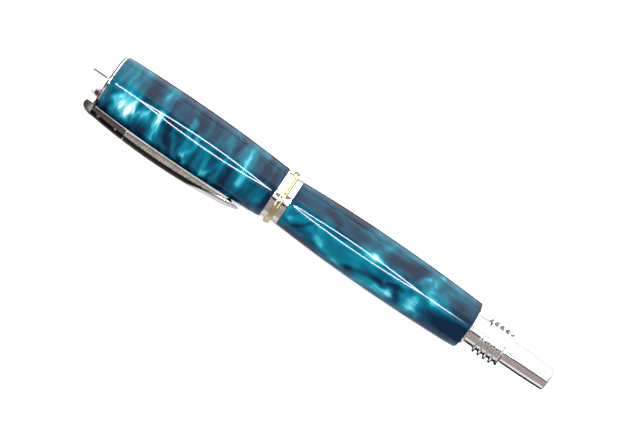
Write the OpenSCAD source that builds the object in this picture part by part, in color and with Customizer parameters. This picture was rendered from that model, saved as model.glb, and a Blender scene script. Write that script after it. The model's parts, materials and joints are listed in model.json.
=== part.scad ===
// Fountain pen with a screw cap, a screw-on barrel and a piston converter.
//
// The pen lies closed on a table, on the belly of its cap and one edge of its clip. +X runs along
// the pen from the finial to the tail, Z = 0 is the table and the origin is the middle of the
// pen's footprint. Each piece is drawn in pen coordinates: the pen's axis is local Z, local +X is
// the side that the nib faces, and station 0 is the plane where the closed cap meets the barrel.
// The stations of the cap, the grip and the nib are negative. place() lays the pen down.

/* [Cap] */
// Length of the resin body of the cap
cap_len = 48.7; // [48:0.1:49.5]
// Radius of the cap at its clip end
cap_top_r = 7.45; // [7.3:0.01:7.6]
// Largest radius of the cap
cap_belly_r = 7.97; // [7.8:0.01:8.1]
// Radius of the cap at the centre band
cap_mouth_r = 7.05; // [6.9:0.01:7.2]
// Distance from the clip end of the cap to its belly
cap_belly_at = 22.2; // [20:0.1:26]
// Outer radius of the brass tube in the cap
cap_tube_r = 6.23; // [6.2:0.01:6.24]

/* [Barrel] */
// Length of the resin body of the barrel
barrel_len = 54.25; // [54:0.05:56]
// Radius of the barrel at the centre band
barrel_mouth_r = 6.3; // [6.2:0.01:6.5]
// Largest radius of the barrel
barrel_belly_r = 7.19; // [7:0.01:7.4]
// Radius of the barrel at its tail
barrel_tail_r = 6.5; // [6.3:0.01:6.7]
// Distance from the front of the barrel to its belly
barrel_belly_at = 27.4; // [24:0.1:31]
// Outer radius of the brass tube in the barrel
barrel_tube_r = 5.25; // [5.2:0.01:5.25]
// Radius of the soft edges of both resin bodies
resin_edge = 0.4; // [0.2:0.05:0.6]

/* [Centre band] */
// Width of the lip that closes each resin body
lip_len = 0.35; // [0.25:0.05:0.5]
// Length of the plain drum on the cap's side
drum_len = 1.05; // [0.9:0.05:1.2]
// Radius of the drum on the cap's side
drum_r = 6.5; // [6.4:0.01:6.7]
// Radius of the drum on the barrel's side
barrel_drum_r = 6.2; // [6.1:0.01:6.3]
// Length of the gold ring
ring_len = 1.55; // [1.4:0.05:1.7]
// Radius of the gold ring
ring_r = 7.5; // [7.3:0.05:7.6]

/* [Finial and clip] */
// Length of the finial
finial_len = 5.35; // [5:0.05:5.8]
// Radius of the finial at its base
finial_base_r = 5.5; // [5.2:0.05:6]
// Radius of the finial where its rounded edge starts
finial_tip_r = 4.85; // [4.5:0.05:5]
// Thickness of the clip's washer
washer_t = 0.75; // [0.7:0.05:0.9]
// Radius of the clip's washer
washer_r = 7.1; // [7:0.01:7.2]
// Width of the clip
clip_w = 4; // [3.6:0.1:4.2]
// Largest distance from the pen's axis to the outside of the clip
clip_crest_r = 11.1; // [11:0.05:11.3]
// Station of the clip's crest
clip_crest_at = -32.5; // [-33:0.1:-32]
// Curvature of the clip's outside, seen from its side (per mm)
clip_bow = 0.003; // [0.0028:0.0001:0.0031]
// Height of the rounded top of the clip's section
clip_crown = 1.2; // [1:0.05:1.3]
// Thickness of the clip's sheet metal
clip_sheet = 0.45; // [0.4:0.01:0.48]

/* [Tail] */
// Radius of the flange that closes the barrel
tail_flange_r = 4.85; // [4.7:0.05:5]
// Thickness of that flange
tail_flange_t = 0.75; // [0.6:0.05:0.9]
// Length of the plain neck behind the flange
neck_len = 2.95; // [2.6:0.05:3.2]
// Length of the posting thread
post_thread_len = 6.95; // [6:0.05:8]
// Thickness of the washer behind the thread
tail_washer_t = 0.4; // [0.3:0.05:0.5]
// Radius of that washer
tail_washer_r = 4.55; // [4.4:0.05:4.7]
// Length of the rod
rod_len = 13.1; // [12:0.1:15]
// Radius of the rod's plain stretch
rod_r = 3.3; // [3.2:0.05:3.4]
// Length of the rod's plain stretch
rod_plain_len = 6; // [5:0.1:7]
// Radius of the rod at its far end
rod_end_r = 3.1; // [3:0.01:3.15]

/* [Cap thread] */
// Distance between neighbouring crests
thread_pitch = 1.65; // [1.5:0.05:1.8]
// Crest radius of the threads on the section and on the tail
thread_crest_r = 4.95; // [4.9:0.01:4.97]
// Root radius of those threads
thread_root_r = 4.05; // [3.95:0.01:4.15]
// Smallest radius of the thread inside the cap
cap_thread_minor_r = 5.05; // [5.02:0.01:5.1]
// Largest radius of the thread inside the cap
cap_thread_major_r = 5.5; // [5.4:0.01:5.55]

/* [Section and nib] */
// Length of the grip
grip_len = 18.9; // [18.5:0.1:19.2]
// Exposed length of the nib
nib_len = 19.5; // [18.5:0.1:19.8]
// Outer radius of the nib's curved sheet
nib_r = 2.75; // [2.7:0.01:2.76]
// Thickness of the nib
nib_t = 0.25; // [0.2:0.01:0.28]
// Width of the nib's slit
slit_w = 0.12; // [0.08:0.01:0.2]
// Radius of the nib's breather hole
breather_r = 0.55; // [0.4:0.05:0.7]

/* [Converter] */
// Outer radius of the clear tube
ink_tube_r = 3.15; // [3.1:0.01:3.17]
// Inner radius of the clear tube
ink_bore_r = 2.55; // [2.45:0.01:2.65]
// Station of the clear tube's rear end
ink_tube_end = 28; // [27:0.1:29]
// Length of the knob
knob_len = 12.8; // [12:0.1:13.5]
// Radius of the knob
knob_r = 3.5; // [3.4:0.05:3.6]

/* [Hidden] */
$fn = 64;

// Clearances between pieces that move on each other
face_gap = 0.05;
turn_gap = 0.03;

// Stations along the pen
cap_x1 = -(ring_len + drum_len + lip_len + face_gap);
cap_x0 = cap_x1 - cap_len;
washer_x0 = cap_x0 - washer_t;
finial_x0 = washer_x0 - finial_len;
barrel_drum_len = 1;
barrel_lip_len = 0.55;
barrel_x0 = face_gap + barrel_drum_len + barrel_lip_len;
barrel_x1 = barrel_x0 + barrel_len;
neck_x0 = barrel_x1 + tail_flange_t;
post_x0 = neck_x0 + neck_len;
post_x1 = post_x0 + post_thread_len;
rod_x0 = post_x1 + tail_washer_t;
rod_x1 = rod_x0 + rod_len;

// Brass tubes
cap_tube_in = cap_tube_r - 0.31;
barrel_tube_in = barrel_tube_r - 0.3;
cap_bore_r = cap_tube_r + 0.02;
barrel_bore_r = barrel_tube_r + 0.02;
belly_steps = 20;

// Section, from the shoulder at station 0 towards the nib
shoulder_t = 1.5;
shoulder_r = 5.3;
cap_thread_x0 = -7.9;
collar_rim_r = 4.85;
collar_rim_t = 0.45;
grip_x1 = cap_thread_x0 - collar_rim_t;
grip_x0 = grip_x1 - grip_len;
collar_bore_r = 3.2;
spigot_r = 3.7;
spigot_x0 = -13.5;
nipple_len = 8.5;
nipple_crest_r = 4.05;
nipple_root_r = 3.75;
fine_pitch = 0.9;
lip_ring_t = 0.5;
lip_ring_r = 4.35;

// Nib unit
housing_r = 3.3;
housing_in = nib_r + 0.03;
housing_x1 = -13.6;
feed_r = nib_r - nib_t - 0.03;
feed_x1 = -15.2;
feed_tip_x = grip_x0 - 15;
nib_tip_x = grip_x0 - nib_len;
nib_tail_x = -19;
nib_shoulder_x = grip_x0 - 4.2;
nib_shoulder_w = 2.68;
nib_tip_w = 0.3;
breather_x = grip_x0 - 8.2;
tipping_r = 0.42;
fin_count = 9;
fin_pitch = 1.05;
fin_slot = 0.42;

// Inner cap
inner_cap_r = 5.8;
inner_cap_in = 4.95;
inner_cap_lip_r = 3.6;
inner_cap_x1 = grip_x0 - lip_ring_t - face_gap;
inner_cap_end_t = 0.6;
inner_cap_x0 = nib_tip_x - 1.4;

// Threaded bush in the top of the cap, and the finial's stud in it
bush_r = cap_tube_in - turn_gap - 0.01;
bush_x1 = inner_cap_x0 - 0.25;
stud_r = 2.5;
stud_x1 = bush_x1 - 0.6;

// Couplers pressed into the two resin bodies
cap_coupler_r = cap_tube_in - turn_gap - 0.01;
cap_coupler_x0 = -11.5;
cap_coupler_face = -0.35;
relief_r = 5.27;
mouth_r = 5.6;
mouth_x0 = -2;
female_x0 = -8.2;
barrel_coupler_r = barrel_tube_in - turn_gap;
barrel_coupler_x1 = 10.5;
barrel_lip_r = 6.35;
fine_minor_r = 4.12;
fine_major_r = 4.42;

// Tail
end_bush_r = barrel_tube_in - turn_gap - 0.02;
end_bush_x0 = 50;
end_bush_x1 = barrel_x1 - 0.6;
end_spigot_r = 3;
end_spigot_x0 = end_bush_x0 + 0.4;
neck_r = 3.93;
tail_foot_r = 5.75;
tail_foot_t = 0.2;
plug_t = 0.25;
rod_stud_r = 1.8;
rod_stud_len = 5.2;
rod_stud_room = 0.3;
rod_chamfer = 0.35;

// Converter
ink_tube_x0 = -12.4;
mouth_wall = 2.4;
feed_pipe_r = 1.35;
feed_pipe_bore = 0.7;
feed_pipe_x1 = -9.4;
metal_band_r = 3.6;
metal_band_x0 = 26;
metal_band_x1 = 33;
band_shoulder = 2;
screw_hole_r = 1.25;
knob_x0 = metal_band_x1 + face_gap;
knob_x1 = knob_x0 + knob_len;
knob_flutes = 18;
flute_r = 0.25;
piston_x0 = -9.2;
piston_len = 4;
piston_r = ink_bore_r - turn_gap;
piston_rod_r = 1.75;
piston_rod_bore = 1.0;
piston_rod_x1 = 15;
screw_r = 0.92;
screw_root_r = 0.7;
screw_lead = 2.5;
screw_x0 = 12.2;
screw_seat = 6;
screw_facets = 10;

// Clip: stations of its pieces, and its hinge pin
channel_x0 = cap_x0;
channel_x1 = -41.85;
blade_x0 = -41.55;
blade_x1 = -8.1;
blade_foot_r = 8.6;
channel_foot_r0 = 7.9;
channel_foot_r1 = 8.4;
channel_sheet = 0.5;
foot_h = 0.15;
foot_drop = 0.25;
tip_bow = 0.011;
tip_bow_at = -14;
tip_round_x = -11.5;
tip_w = 1.8;
pin_stations = [-49.6, -44.4];
pin_dist = [9.22, 9.5];
pin_r = 0.42;
pin_head_r = 0.58;
pin_head_t = 0.14;
eye_r = 0.6;
pin_play = 0.05;
tongue_w = 1.8;
dimple_dist = 8.55;
dimple_r = 0.95;
dimple_x = -11.2;
arch_step = 15;

// Resting pose: the clip turns down from the horizontal until its crowned section meets the table
function clip_drop(a) = (clip_crest_r - clip_crown) * sin(a)
    + norm([clip_crown * sin(a), clip_w / 2 * cos(a)]);
function rest_angle(lo, hi, n) = n == 0 ? (lo + hi) / 2
    : clip_drop((lo + hi) / 2) < cap_belly_r ? rest_angle((lo + hi) / 2, hi, n - 1)
    : rest_angle(lo, (lo + hi) / 2, n - 1);
clip_angle = rest_angle(0, 60, 30);
clip_side = (clip_crest_r - clip_crown) * cos(clip_angle)
    + norm([clip_crown * cos(clip_angle), clip_w / 2 * sin(clip_angle)]);
axis_x = -(finial_x0 + rod_x1) / 2;
axis_y = (clip_side - cap_belly_r) / 2;
axis_z = cap_belly_r;

CHROME = "#d9dadc";
GOLD = "#d9b04c";
BRASS = "#b8923e";
RESIN = "#0f5f78";
BLACK = "#1b1b1d";
CLEAR = "#dfe8ea";

// Lays a piece drawn in pen coordinates on the table
module place() {
    translate([axis_x, axis_y, axis_z]) rotate([180, -90, 0]) children();
}

// The same for a piece of the clip, drawn on local +X
module place_clip() {
    place() rotate([0, 0, 90 + clip_angle]) children();
}

// A body of revolution, from points given as [radius, station]
module turned(points) {
    rotate_extrude() polygon(points);
}

// A plain tube between two stations
module tube(outer, inner, x0, x1) {
    turned([[inner, x0], [outer, x0], [outer, x1], [inner, x1]]);
}

// A shape given as [radius, station] points, cut as a plate of the given width across local Y
module plate(points, width) {
    rotate([90, 0, 0]) linear_extrude(width, center = true) polygon(points);
}

// A round bar across the clip at a station, at a distance from the pen's axis
module cross_bar(x, dist, r, width) {
    translate([dist, 0, x]) rotate([90, 0, 0]) cylinder(r = r, h = width, center = true, $fn = 32);
}

// Radius at a station of a body that swells smoothly to a belly and narrows to both ends
function belly(x, x0, r0, xm, rm, x1, r1) =
    x < xm ? rm - (rm - r0) * pow((x - xm) / (x0 - xm), 2)
    : rm - (rm - r1) * pow((x - xm) / (x1 - xm), 2);

// Outline of a bored resin body with soft edges
function resin_outline(x0, r0, xm, rm, x1, r1, bore, e = resin_edge) = concat(
    [[bore, x0]],
    [for (a = [-90:30:0]) [belly(x0 + e, x0, r0, xm, rm, x1, r1) - e + e * cos(a), x0 + e + e * sin(a)]],
    [for (i = [1:belly_steps - 1])
        let (x = x0 + e + (x1 - x0 - 2 * e) * i / belly_steps)
        [belly(x, x0, r0, xm, rm, x1, r1), x]],
    [for (a = [0:30:90]) [belly(x1 - e, x0, r0, xm, rm, x1, r1) - e + e * cos(a), x1 - e + e * sin(a)]],
    [[bore, x1]]
);

// Cross-section of a right-hand two-start thread with rounded trapezoid ridges
thread_starts = 2;
thread_facets = 32;
slices_per_turn = 14;
function ridge(t) = let (s = 0.5 + 0.85 * cos(360 * t)) min(1, max(0, s));
function thread_section(root, crest) = [
    for (i = [0:thread_facets - 1])
        let (r = root + (crest - root) * ridge(thread_starts * i / thread_facets))
        r * [cos(360 * i / thread_facets), sin(360 * i / thread_facets)]
];

// The thread between two stations
module coarse_thread(x0, x1, root, crest) {
    turns = (x1 - x0) / (thread_starts * thread_pitch);
    translate([0, 0, x0])
        linear_extrude(x1 - x0, twist = -360 * turns, slices = ceil(slices_per_turn * turns), $fn = 0)
            polygon(thread_section(root, crest));
}

// Outline points of ridges that stand for a fine thread, from station x0 to x1
function fine_ridges(x0, x1, root, crest) = [
    for (i = [0:floor((x1 - x0) / fine_pitch) - 1], p = [[root, 0.1], [crest, 0.4], [crest, 0.55], [root, 0.85]])
        [p[0], x0 + (i + p[1]) * fine_pitch]
];

// Clip: distance of its outside from the pen's axis
function clip_top(x) = clip_crest_r - clip_bow * pow(x - clip_crest_at, 2)
    - tip_bow * pow(max(0, x - tip_bow_at), 2);

// One arched section of the clip: outer points, then inner points, as [distance, across, station]
function arch_line(x, half, foot, centre, rise) = concat(
    [[foot, half, x]],
    [for (a = [0:arch_step:180]) [centre + rise * sin(a), half * cos(a), x]],
    [[foot, -half, x]]
);
function arch(x, half, foot, top, sheet) =
    let (crown = min(clip_crown, top - foot - foot_h), centre = top - crown)
    concat(
        arch_line(x, half, foot, centre, crown),
        arch_line(x, half - min(sheet, half / 2), foot, centre, max(crown - sheet, foot_h / 3))
    );

// Joins arched sections into one closed sheet-metal channel
module arched_channel(sections) {
    m = len(sections[0]);
    h = m / 2;
    last = len(sections) - 1;
    function strip(a, b, c, d) = [[a, c, b], [a, d, c]];
    sides = [for (s = [0:last - 1], i = [0:h - 2]) each strip(s * m + i, (s + 1) * m + i,
        (s + 1) * m + i + 1, s * m + i + 1)];
    inside = [for (s = [0:last - 1], i = [h:m - 2]) each strip(s * m + i, s * m + i + 1,
        (s + 1) * m + i + 1, (s + 1) * m + i)];
    feet = [for (s = [0:last - 1]) each concat(
        strip(s * m, s * m + h, (s + 1) * m + h, (s + 1) * m),
        strip(s * m + h - 1, (s + 1) * m + h - 1, (s + 1) * m + m - 1, s * m + m - 1))];
    front = [for (i = [0:h - 2]) each strip(i, i + 1, h + i + 1, h + i)];
    back = [for (i = [0:h - 2]) each strip(last * m + i, last * m + h + i, last * m + h + i + 1,
        last * m + i + 1)];
    polyhedron([for (s = sections) each s], concat(sides, inside, feet, front, back));
}

// ---- Cap ----

finial_edge = 1.1;

module finial() {
    color(CHROME) place() turned(concat(
        [[0, finial_x0]],
        [for (a = [-90:15:0]) [finial_tip_r - finial_edge + finial_edge * cos(a),
            finial_x0 + finial_edge + finial_edge * sin(a)]],
        [[finial_base_r, washer_x0], [stud_r, washer_x0], [stud_r, stud_x1], [0, stud_x1]]
    ));
}

// Raised head on the washer, as [distance, station]: it overhangs the finial's side
head_base_r = 4.5;
head_outline = [
    [head_base_r, washer_x0], [7.45, washer_x0], [7.45, -54.3], [8.45, -54.65], [9.1, -54.4],
    [9.5, -53.5], [9.75, -52.6], [9.95, cap_x0], [head_base_r, cap_x0]
];

module clip_ring() {
    color(CHROME) {
        place() tube(washer_r, stud_r + 0.1, washer_x0, cap_x0);
        place_clip() plate(head_outline, clip_w);
    }
}

module clip_channel() {
    steps = 5;
    color(CHROME) place_clip() difference() {
        arched_channel([
            for (i = [0:steps])
                let (t = i / steps, x = channel_x0 + (channel_x1 - channel_x0) * t)
                arch(x, clip_w / 2, channel_foot_r0 + (channel_foot_r1 - channel_foot_r0) * t,
                    clip_top(x), channel_sheet)
        ]);
        for (i = [0, 1]) cross_bar(pin_stations[i], pin_dist[i], pin_r, clip_w + 1);
    }
}

module clip_rivets() {
    color(CHROME) place_clip() for (i = [0, 1]) {
        cross_bar(pin_stations[i], pin_dist[i], pin_r, clip_w);
        for (side = [-1, 1])
            translate([0, side * (clip_w + pin_head_t) / 2, 0])
                cross_bar(pin_stations[i], pin_dist[i], pin_head_r, pin_head_t);
    }
}

// The leaf spring passes under the first pin and bears on the tongue's tail
spring_t = 0.25;
spring_w = 2.2;
spring_path = [[8.47, cap_x0], [8.47, -48.9], [8.88, -45.9]];

module clip_spring() {
    color(CHROME) place_clip() plate(concat(
        spring_path,
        [for (i = [2:-1:0]) spring_path[i] - [spring_t, 0]]
    ), spring_w);
}

function blade_half(x) = x < tip_round_x ? clip_w / 2
    : tip_w / 2 + (clip_w - tip_w) / 2 * sqrt(1 - pow((x - tip_round_x) / (blade_x1 - tip_round_x), 2));

// The tongue that carries the hinge eye, as [distance, station], with its tail over the spring
tongue_x1 = -38;
tongue = [
    [9.1, -46.5], [9.45, -46.5], [10.0, pin_stations[1] - 0.2], [10.0, channel_x1],
    [10.55, blade_x0 + 0.6], [clip_top(tongue_x1) - 0.35, tongue_x1],
    [clip_top(tongue_x1) - 1.1, tongue_x1], [9.2, -42.5], [9.1, pin_stations[1]]
];

module clip_blade() {
    steps = 24;
    color(CHROME) place_clip() difference() {
        union() {
            arched_channel([
                for (i = [0:steps])
                    let (x = blade_x0 + (blade_x1 - blade_x0) * i / steps)
                    arch(x, blade_half(x), blade_foot_r - foot_drop * pow(i / steps, 4), clip_top(x),
                        clip_sheet)
            ]);
            cross_bar(pin_stations[1], pin_dist[1], eye_r, tongue_w);
            plate(tongue, tongue_w);
            translate([dimple_dist, 0, dimple_x]) sphere(dimple_r, $fn = 32);
        }
        cross_bar(pin_stations[1], pin_dist[1], pin_r + pin_play, clip_w + 1);
    }
}

module cap_bush() {
    color(BRASS) place() tube(bush_r, stud_r, cap_x0, bush_x1);
}

module cap_shell() {
    color(RESIN) place() turned(resin_outline(cap_x0, cap_top_r, cap_x0 + cap_belly_at, cap_belly_r,
        cap_x1, cap_mouth_r, cap_bore_r));
}

module cap_tube() {
    color(BRASS) place() tube(cap_tube_r, cap_tube_in, cap_x0 + face_gap, cap_x1 - face_gap);
}

module inner_cap() {
    color(CLEAR) place() turned([
        [0, inner_cap_x0], [inner_cap_r, inner_cap_x0], [inner_cap_r, inner_cap_x1],
        [inner_cap_lip_r, inner_cap_x1], [inner_cap_lip_r, inner_cap_x1 - 0.8],
        [inner_cap_in, inner_cap_x1 - 1.6], [inner_cap_in, inner_cap_x0 + inner_cap_end_t],
        [0, inner_cap_x0 + inner_cap_end_t]
    ]);
}

module cap_coupler() {
    color(CHROME) place() difference() {
        turned([
            [0, cap_coupler_x0], [cap_coupler_r, cap_coupler_x0], [cap_coupler_r, cap_x1],
            [cap_mouth_r - 0.1, cap_x1], [cap_mouth_r - 0.1, cap_x1 + lip_len], [drum_r, cap_x1 + lip_len],
            [drum_r, cap_coupler_face], [0, cap_coupler_face]
        ]);
        tube(relief_r, 0, cap_coupler_x0 - 1, female_x0);
        coarse_thread(female_x0, mouth_x0, cap_thread_minor_r, cap_thread_major_r);
        tube(mouth_r, 0, mouth_x0, 1);
    }
}

module cap_trim_ring() {
    x0 = -(face_gap + ring_len);
    x1 = -face_gap;
    groove_x = x1 - 0.42;
    color(GOLD) place() turned(concat(
        [[drum_r, x0], [ring_r - 0.35, x0], [ring_r - 0.15, x0 + 0.12], [ring_r, x0 + 0.35],
         [ring_r, groove_x - 0.3], [ring_r - 0.12, groove_x - 0.1], [ring_r - 0.25, groove_x],
         [ring_r - 0.12, groove_x + 0.1], [ring_r - 0.08, x1 - 0.15], [ring_r - 0.25, x1],
         [mouth_r, x1], [mouth_r, cap_coupler_face], [drum_r, cap_coupler_face]]
    ));
}

// ---- Section and nib ----

module section_collar() {
    color(CHROME) place() difference() {
        union() {
            tube(spigot_r, 0, spigot_x0, grip_x1);
            tube(collar_rim_r, 0, grip_x1, cap_thread_x0);
            coarse_thread(cap_thread_x0, -shoulder_t, thread_root_r, thread_crest_r);
            tube(shoulder_r, 0, -shoulder_t, 0);
            turned(concat([[0, 0], [nipple_root_r, 0]],
                fine_ridges(0.3, nipple_len, nipple_root_r, nipple_crest_r),
                [[nipple_root_r, nipple_len], [0, nipple_len]]));
        }
        cylinder(r = collar_bore_r, h = 60, center = true);
    }
}

// Radius of the grip, from its rim (t = 0) to its front edge (t = 1)
function grip_radius(t) = 4.7 - 0.75 * sin(150 * t);

module section_grip() {
    steps = 12;
    color(BLACK) place() difference() {
        turned(concat(
            [[0, grip_x1], [4.55, grip_x1]],
            [for (i = [0:steps]) [grip_radius(i / steps), grip_x1 - 0.25 - (grip_len - 0.25) * i / steps]],
            [[0, grip_x0]]
        ));
        cylinder(r = housing_r, h = 120, center = true);
        translate([0, 0, spigot_x0 - face_gap]) cylinder(r = spigot_r, h = 30);
    }
}

module section_lip_ring() {
    edge = 0.12;
    x0 = grip_x0 - lip_ring_t;
    color(CHROME) place() turned([
        [housing_r, x0], [lip_ring_r - edge, x0], [lip_ring_r, x0 + edge],
        [lip_ring_r, grip_x0 - edge], [lip_ring_r - edge, grip_x0], [housing_r, grip_x0]
    ]);
}

module nib_housing() {
    wall_t = 0.9;
    color(BLACK) place() turned([
        [housing_in, grip_x0 - lip_ring_t], [housing_r, grip_x0 - lip_ring_t], [housing_r, housing_x1],
        [feed_pipe_r, housing_x1], [feed_pipe_r, feed_pipe_x1], [feed_pipe_bore, feed_pipe_x1],
        [feed_pipe_bore, housing_x1 - wall_t], [housing_in, housing_x1 - wall_t]
    ]);
}

module feed() {
    color(BLACK) place() difference() {
        intersection() {
            translate([0, 0, feed_tip_x]) cylinder(r = feed_r, h = feed_x1 - feed_tip_x);
            plate([
                [feed_r, feed_x1], [-feed_r, feed_x1], [-feed_r, grip_x0 - 1], [-2.1, grip_x0 - 8],
                [1.3, feed_tip_x], [feed_r, feed_tip_x]
            ], 2 * feed_r);
            rotate([0, 90, 0]) linear_extrude(2 * feed_r, center = true) polygon([
                [-feed_x1, feed_r], [-grip_x0 + 3, feed_r], [-feed_tip_x - 1.5, 1.1], [-feed_tip_x, 0.6],
                [-feed_tip_x, -0.6], [-feed_tip_x - 1.5, -1.1], [-grip_x0 + 3, -feed_r], [-feed_x1, -feed_r]
            ]);
        }
        for (i = [0:fin_count - 1])
            translate([-feed_r - 1, -feed_r, grip_x0 - 2 - i * fin_pitch])
                cube([feed_r + 0.9, 2 * feed_r, fin_slot]);
        translate([feed_r - 0.5, -0.15, feed_tip_x - 1]) cube([1, 0.3, feed_x1 - feed_tip_x]);
    }
}

module nib() {
    color(GOLD) place() difference() {
        intersection() {
            tube(nib_r, nib_r - nib_t, nib_tip_x, nib_tail_x);
            rotate([0, 90, 0]) linear_extrude(nib_r) polygon(concat(
                [for (side = [1, -1]) [-nib_tail_x, side * 2.2]],
                [[-grip_x0, -2.3], [-nib_shoulder_x + 2, -nib_shoulder_w]],
                [for (t = [0:0.125:1]) [
                    -nib_shoulder_x + 2 + (nib_shoulder_x - 2 - nib_tip_x) * t,
                    -(nib_tip_w + (nib_shoulder_w - nib_tip_w) * pow(1 - t, 1.35))]],
                [for (t = [1:-0.125:0]) [
                    -nib_shoulder_x + 2 + (nib_shoulder_x - 2 - nib_tip_x) * t,
                    nib_tip_w + (nib_shoulder_w - nib_tip_w) * pow(1 - t, 1.35)]],
                [[-grip_x0, 2.3]]
            ));
        }
        translate([0, -slit_w / 2, nib_tip_x - 1]) cube([5, slit_w, breather_x - nib_tip_x + 1]);
        translate([0, 0, breather_x]) rotate([0, 90, 0]) cylinder(r = breather_r, h = 5, $fn = 32);
    }
}

module nib_tipping() {
    color(CHROME) place() difference() {
        translate([nib_r - nib_t / 2 - 0.1, 0, nib_tip_x - tipping_r * 0.6]) sphere(tipping_r, $fn = 32);
        translate([0, -slit_w / 2, nib_tip_x - 2]) cube([5, slit_w, 4]);
        translate([0, -2, nib_tip_x]) cube([5, 4, 4]);
    }
}

// ---- Converter ----

module converter_tube() {
    color(CLEAR) place() turned([
        [feed_pipe_r, ink_tube_x0], [ink_tube_r, ink_tube_x0], [ink_tube_r, ink_tube_end],
        [ink_bore_r, ink_tube_end], [ink_bore_r, ink_tube_x0 + mouth_wall], [feed_pipe_r, ink_tube_x0 + mouth_wall]
    ]);
}

module converter_band() {
    edge = 0.2;
    color(CHROME) place() turned([
        [ink_tube_r, metal_band_x0], [metal_band_r - edge, metal_band_x0], [metal_band_r, metal_band_x0 + edge],
        [metal_band_r, metal_band_x1 - edge], [metal_band_r - edge, metal_band_x1],
        [screw_hole_r, metal_band_x1], [screw_hole_r, metal_band_x1 - band_shoulder],
        [ink_bore_r, metal_band_x1 - band_shoulder], [ink_bore_r, ink_tube_end], [ink_tube_r, ink_tube_end]
    ]);
}

module converter_piston() {
    waist = 0.25;
    x1 = piston_x0 + piston_len;
    color(BLACK) place() turned([
        [0, piston_x0], [piston_r - 0.3, piston_x0], [piston_r, piston_x0 + 0.4], [piston_r, piston_x0 + 1.2],
        [piston_r - waist, piston_x0 + 1.5], [piston_r - waist, x1 - 1.5], [piston_r, x1 - 1.2],
        [piston_r, x1 - 0.3], [piston_r - 0.2, x1], [0, x1]
    ]);
}

module converter_piston_rod() {
    x0 = piston_x0 + piston_len;
    color(CLEAR) place() difference() {
        union() {
            tube(piston_rod_r, 0, x0, piston_rod_x1);
            tube(ink_bore_r - 0.1, 0, piston_rod_x1 - 1.2, piston_rod_x1);
        }
        translate([0, 0, x0 + 1]) cylinder(r = piston_rod_bore, h = piston_rod_x1 - x0);
    }
}

module converter_screw() {
    turns = (knob_x0 - screw_x0) / screw_lead;
    color(CHROME) place() {
        translate([0, 0, screw_x0])
            linear_extrude(knob_x0 - screw_x0, twist = -360 * turns, slices = ceil(8 * turns), $fn = 0)
                polygon([
                    for (i = [0:screw_facets - 1])
                        (screw_root_r + (screw_r - screw_root_r) * ridge(i / screw_facets))
                            * [cos(360 * i / screw_facets), sin(360 * i / screw_facets)]
                ]);
        tube(screw_r, 0, knob_x0, knob_x0 + screw_seat);
    }
}

module converter_knob() {
    edge = 0.4;
    smooth_len = 2.2;
    seat_r = screw_r + 0.01;
    color(BLACK) place() difference() {
        turned([
            [seat_r, knob_x0], [knob_r - edge, knob_x0], [knob_r, knob_x0 + edge], [knob_r, knob_x1 - edge],
            [knob_r - edge, knob_x1], [0, knob_x1], [0, knob_x0 + screw_seat], [seat_r, knob_x0 + screw_seat]
        ]);
        for (i = [0:knob_flutes - 1]) rotate([0, 0, 360 * i / knob_flutes])
            translate([knob_r + 0.08, 0, knob_x0 + smooth_len])
                cylinder(r = flute_r, h = knob_len - 2 * smooth_len, $fn = 16);
    }
}

// ---- Barrel ----

module barrel_coupler() {
    groove = fine_major_r;
    color(CHROME) place() turned(concat(
        [[groove, face_gap], [barrel_drum_r, face_gap], [barrel_drum_r, face_gap + barrel_drum_len],
         [barrel_lip_r, face_gap + barrel_drum_len + 0.12], [barrel_lip_r, barrel_x0],
         [barrel_coupler_r, barrel_x0], [barrel_coupler_r, barrel_coupler_x1], [fine_minor_r, barrel_coupler_x1]],
        [for (i = [9:-1:0], p = [[fine_minor_r, 0.95], [groove, 0.7], [groove, 0.55], [fine_minor_r, 0.3]])
            [p[0], 0.6 + (i + p[1]) * fine_pitch]],
        [[fine_minor_r, 0.6]]
    ));
}

module barrel_tube() {
    color(BRASS) place() tube(barrel_tube_r, barrel_tube_in, barrel_x0 + face_gap, barrel_x1 - 0.3);
}

module barrel_shell() {
    color(RESIN) place() turned(resin_outline(barrel_x0, barrel_mouth_r, barrel_x0 + barrel_belly_at,
        barrel_belly_r, barrel_x1, barrel_tail_r, barrel_bore_r));
}

module barrel_end_bush() {
    color(BRASS) place() tube(end_bush_r, end_spigot_r + turn_gap, end_bush_x0, end_bush_x1);
}

module posting_stub() {
    color(CHROME) place() difference() {
        union() {
            tube(end_spigot_r, 0, end_spigot_x0, barrel_x1);
            tube(barrel_tube_r, 0, barrel_x1 - plug_t, barrel_x1);
            turned([[0, barrel_x1], [tail_foot_r, barrel_x1], [tail_flange_r, barrel_x1 + tail_foot_t],
                [tail_flange_r, neck_x0], [0, neck_x0]]);
            tube(neck_r, 0, neck_x0, post_x0);
            coarse_thread(post_x0, post_x1, thread_root_r, thread_crest_r);
        }
        translate([0, 0, post_x1 - rod_stud_len - rod_stud_room]) cylinder(r = rod_stud_r, h = 10);
    }
}

module tail_washer() {
    color(CHROME) place() tube(tail_washer_r, rod_stud_r, post_x1, rod_x0);
}

module tail_rod() {
    color(CHROME) place() turned([
        [0, post_x1 - rod_stud_len], [rod_stud_r, post_x1 - rod_stud_len], [rod_stud_r, rod_x0], [rod_r, rod_x0],
        [rod_r, rod_x0 + rod_plain_len], [rod_end_r, rod_x1 - rod_chamfer], [rod_end_r - rod_chamfer, rod_x1],
        [0, rod_x1]
    ]);
}

finial();
clip_ring();
clip_channel();
clip_rivets();
clip_spring();
clip_blade();
cap_bush();
cap_shell();
cap_tube();
inner_cap();
cap_coupler();
cap_trim_ring();
section_collar();
section_grip();
section_lip_ring();
nib_housing();
feed();
nib();
nib_tipping();
converter_tube();
converter_band();
converter_piston();
converter_piston_rod();
converter_screw();
converter_knob();
barrel_coupler();
barrel_tube();
barrel_shell();
barrel_end_bush();
posting_stub();
tail_washer();
tail_rod();
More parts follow.
